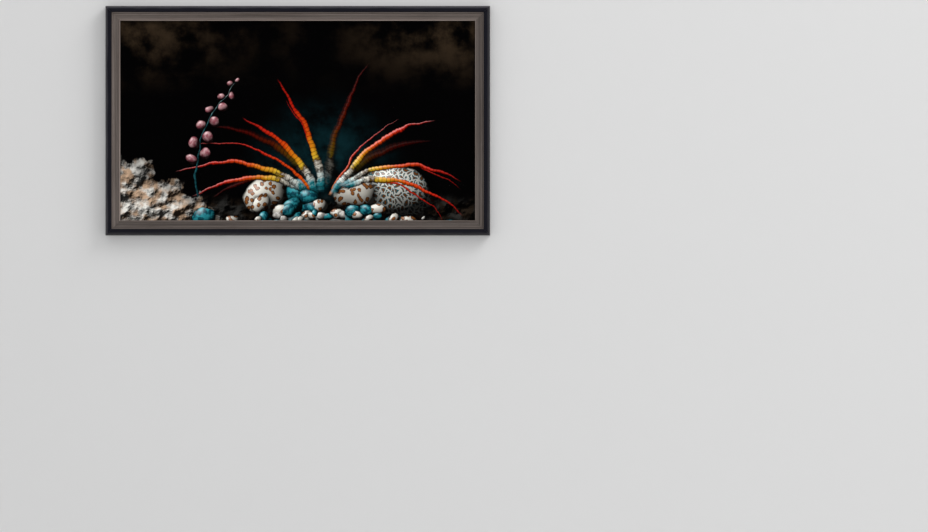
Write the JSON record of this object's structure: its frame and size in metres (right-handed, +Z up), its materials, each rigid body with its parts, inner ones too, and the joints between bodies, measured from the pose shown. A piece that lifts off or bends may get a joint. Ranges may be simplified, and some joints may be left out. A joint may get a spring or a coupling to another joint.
{
  "type": "framed canvas print",
  "caption": "Framed canvas print for a wall: black and grey-brown wooden moulding round a canvas stretched on keyed bars, with clips and sawtooth hangers behind.",
  "frame": {"origin": "on the flat back of the frame, at the middle of the top rail, where it lies on the wall", "axes": "+X to the viewer's right along the frame's width, +Y into the wall, +Z up"},
  "size_m": [1.085, 0.038, 0.6476],
  "materials": {
    "outer_moulding": "satin black lacquer",
    "liner": "grey-brown stain, satin",
    "canvas": "matt print on a near-black ground, bare cloth behind",
    "stretcher": "bare pine",
    "keys": "bare beech",
    "fixings": "bright zinc plate",
    "hangers": "brassed steel"
  },
  "bodies": {
    "root": {"outer_rail_top": "outer_moulding", "outer_rail_right": "outer_moulding", "outer_rail_bottom": "outer_moulding", "outer_rail_left": "outer_moulding", "liner_rail_top": "liner", "liner_rail_right": "liner", "liner_rail_bottom": "liner", "liner_rail_left": "liner", "canvas": "canvas", "stretcher_bar_top": "stretcher", "stretcher_bar_right": "stretcher", "stretcher_bar_bottom": "stretcher", "stretcher_bar_left": "stretcher", "stretcher_brace": "stretcher", "key_top_1": "keys", "key_top_2": "keys", "key_right_1": "keys", "key_right_2": "keys", "key_bottom_1": "keys", "key_bottom_2": "keys", "key_left_1": "keys", "key_left_2": "keys", "clip_top_1": "fixings", "clip_top_2": "fixings", "clip_right_1": "fixings", "clip_bottom_1": "fixings", "clip_bottom_2": "fixings", "clip_left_1": "fixings", "clip_screw_top_1": "fixings", "clip_screw_top_2": "fixings", "clip_screw_right_1": "fixings", "clip_screw_bottom_1": "fixings", "clip_screw_bottom_2": "fixings", "clip_screw_left_1": "fixings", "hanger_1": "hangers", "hanger_2": "hangers", "hanger_nail_1": "hangers", "hanger_nail_2": "hangers", "hanger_nail_3": "hangers", "hanger_nail_4": "hangers"}
  },
  "joints": []
}
